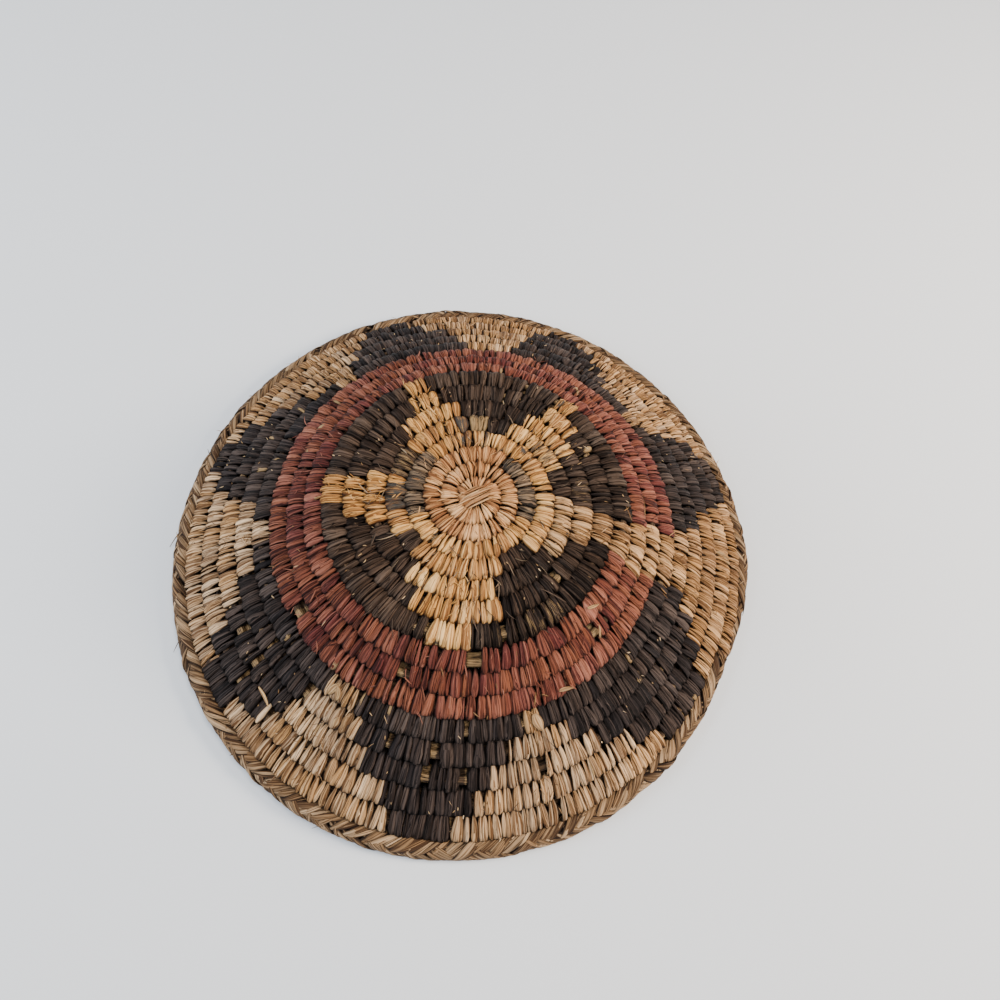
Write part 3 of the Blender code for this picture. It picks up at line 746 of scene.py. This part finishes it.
for number, name in enumerate(rod_nodes):
    ends = travelled[-1] * np.array([number, number + 1]) / len(rod_nodes)
    first, last = np.interp(ends, travelled, stations)
    long = ends[1] - ends[0]
    blank = splint_blank(int(long / ROD_RING_STEP), has_ends=True)
    across, along, height = corners_of(blank)
    ring_angle = np.arctan2(height - 0.3, across)
    turn = first + (last - first) * along
    sets = []
    for x_share, y_share in ROD_PLACES:
        width = coil_width(turn) / 2
        x = width * x_share * 0.9 + ROD_SHARE * width * np.cos(ring_angle)
        y = COIL_HALF * y_share * 0.9 + ROD_SHARE * COIL_HALF * np.sin(ring_angle)
        sets.append(place(turn, x, y))
    own_pattern = column(np.arange(len(ROD_PLACES))) * 4.1
    fibre = np.stack(np.broadcast_arrays(ring_angle * 0.001, along * long, own_pattern), axis=-1)
    shown = [pale * (np.abs(turn - gone) * arc(gone) < length * 0.9) for gone, length, pale in bare_places]
    flat = np.zeros((len(ROD_PLACES), len(across)))
    worn = ROD_WORN * np.max(shown, axis=0) + flat
    marks = {"fibre": fibre, "tone": flat + 0.5, "hue": flat + 0.5, "edge": flat + 0.3, "lost": worn}
    piece = bent_piece(name, blank, np.array(sets), marks, rod_finish)
    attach(piece, "root")
    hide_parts(name)

# The start knot: a flat strip of undyed splint over the first wraps, where the coil begins. It is
# split into strands with wear, and its own tail, pushed down beside it, holds it.
knot_finish = splint_finish(
    "knot_splint", deep=(0.24, 0.095, 0.035), cool=(0.58, 0.29, 0.125), warm=(0.66, 0.34, 0.135),
    light=(0.86, 0.54, 0.27), shade_and_dirt=(0.10, 0.04, 0.015),
)
knot_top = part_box("start_knot")[1][2]
knot_blank = splint_blank(12, has_ends=True)
across, along, height = corners_of(knot_blank)
direction = math.radians(43)
KNOT_LENGTH = 0.0140
KNOT_HALF = 0.0026
KNOT_STRANDS = 9
STRAND_HALF = 0.00042
KNOT_DROOP = 0.0024
strips = []
for sideways in np.linspace(-KNOT_HALF, KNOT_HALF, KNOT_STRANDS):
    long = KNOT_LENGTH * (1 - 40 * abs(sideways)) * (1 + 0.12 * draw.normal())
    half = STRAND_HALF * (1 + 0.2 * draw.normal())
    lengthwise = (along - 0.5) * long + 0.0009 * draw.normal()
    taper = np.sin(math.pi * np.clip(along, 0.05, 0.95)) ** 0.5
    crosswise = sideways + half * across * taper + 0.0004 * draw.normal() * along
    droop = KNOT_DROOP * np.abs(2 * along - 1) ** 3 + 110 * sideways**2
    z = knot_top - 0.0010 + 0.00015 * draw.normal() + 0.00045 * height - droop
    x = lengthwise * math.cos(direction) - crosswise * math.sin(direction)
    y = lengthwise * math.sin(direction) + crosswise * math.cos(direction)
    strips.append(np.stack((x, y, z), axis=-1))
own_pattern = column(np.arange(KNOT_STRANDS)) * 2.3
fibre = np.stack(np.broadcast_arrays(across * 0.0005, along * 0.012, own_pattern), axis=-1)
flat = np.zeros((KNOT_STRANDS, len(across)))
tone = np.clip(0.55 + 0.2 * draw.normal(size=(KNOT_STRANDS, 1)), 0, 1) + flat
# Painted shade and dirt at the edges of each strand of the knot.
edge = np.abs(across) * 0.85 + flat
marks = {"fibre": fibre, "tone": tone, "hue": flat + 0.5, "edge": edge, "lost": flat}
knot = bent_piece("start_knot", knot_blank, np.array(strips), marks, knot_finish)
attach(knot, "root")
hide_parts("start_knot")

# The floor is a plain pale sheet, and the light is soft and comes from the right and above.
bpy.ops.mesh.primitive_plane_add(size=3)
floor = bpy.context.object
floor.name = "floor"
floor_finish = bpy.data.materials.new("floor")
floor_finish.use_nodes = True
floor_shader = floor_finish.node_tree.nodes["Principled BSDF"]
floor_shader.inputs["Base Color"].default_value = (0.80, 0.79, 0.78, 1)
floor_shader.inputs["Roughness"].default_value = 0.9
floor.data.materials.append(floor_finish)

world = bpy.data.worlds.new("studio")
world.use_nodes = True
world.node_tree.nodes["Background"].inputs["Color"].default_value = (0.66, 0.80, 1.0, 1)
world.node_tree.nodes["Background"].inputs["Strength"].default_value = 0.44
bpy.context.scene.world = world


def soft_light(name, position, size, power, colour):
    light = bpy.data.lights.new(name, "AREA")
    light.shape = "DISK"
    light.size = size
    light.energy = power
    light.color = colour
    lamp = bpy.data.objects.new(name, light)
    lamp.location = position
    lamp.rotation_euler = (-Vector(position)).to_track_quat("-Z", "Y").to_euler()
    bpy.context.scene.collection.objects.link(lamp)


soft_light("window", (0.84, 0.16, 0.52), 0.34, 14.0, (1.0, 0.91, 0.80))
soft_light("fill", (-0.80, -0.25, 0.45), 0.6, 11.0, (0.78, 0.88, 1.0))
soft_light("overhead", (0.22, 0.20, 1.0), 0.45, 7.5, (1.0, 0.96, 0.91))

# The camera is close, above the front of the basket, and turned a little, as in the photograph. Its
# place is in rim radii from the middle of the floor under the basket.
lens = bpy.data.cameras.new("camera")
lens.lens = 22.50
lens.sensor_width = 36
camera = bpy.data.objects.new("camera", lens)
right = Vector((0.9685, 0.2333, 0.0874))
up = Vector((-0.2489, 0.8924, 0.3765))
back = Vector((0.0098, -0.3863, 0.9223))
turned = Matrix((right, up, back)).transposed().to_4x4()
camera_place = Vector((0.0903, -0.6987, 2.1644)) * RIM_RADIUS
camera.matrix_world = Matrix.Translation(camera_place) @ turned
bpy.context.scene.collection.objects.link(camera)
bpy.context.scene.camera = camera
